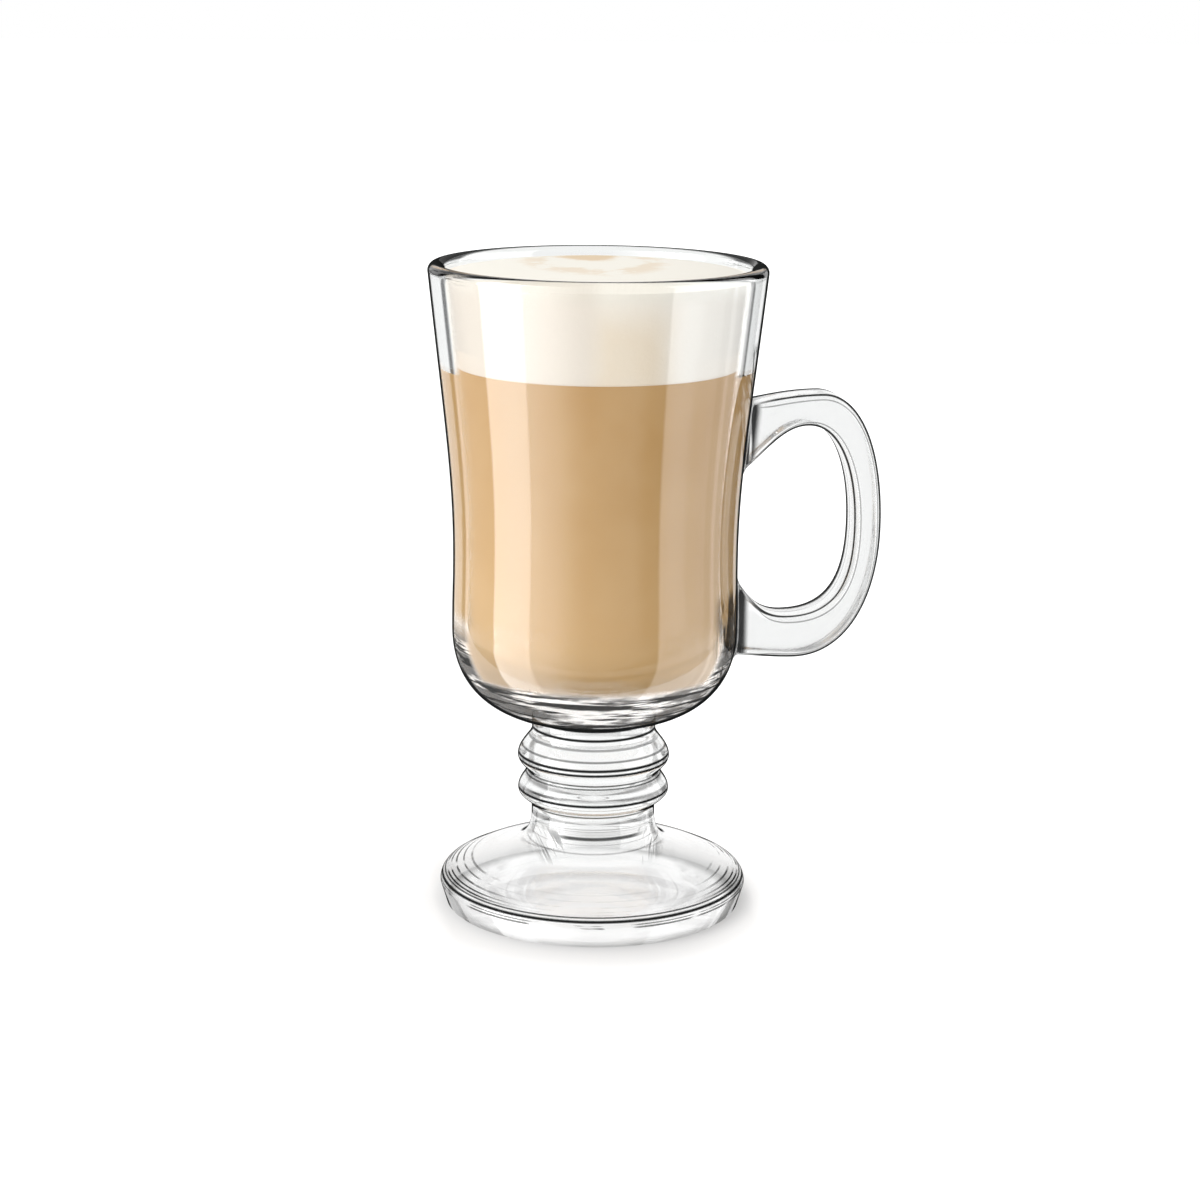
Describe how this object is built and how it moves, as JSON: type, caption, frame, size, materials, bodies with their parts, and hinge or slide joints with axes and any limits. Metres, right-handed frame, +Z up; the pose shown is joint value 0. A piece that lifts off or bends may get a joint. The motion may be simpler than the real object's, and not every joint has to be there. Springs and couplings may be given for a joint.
{
  "type": "footed glass mug",
  "caption": "Footed clear glass mug with a flared bowl, a side handle and a ringed stem, filled with milk coffee under a layer of foam.",
  "frame": {"origin": "centre of the flat resting rim under the foot, on the mug's axis and at table height", "axes": "+Z up along the mug's axis, +X from the axis towards the handle, +Y across the mug to the left of someone looking along +X"},
  "size_m": [0.1034, 0.076, 0.1485],
  "materials": {
    "clear_glass": "clear, fire polished",
    "milk_coffee": "opaque liquid against the glass",
    "milk_foam": "matt, finely pored"
  },
  "bodies": {
    "root": {"foot": "clear_glass", "stem": "clear_glass", "bowl": "clear_glass", "handle": "clear_glass", "coffee": "milk_coffee", "milk_foam": "milk_foam"}
  },
  "joints": []
}
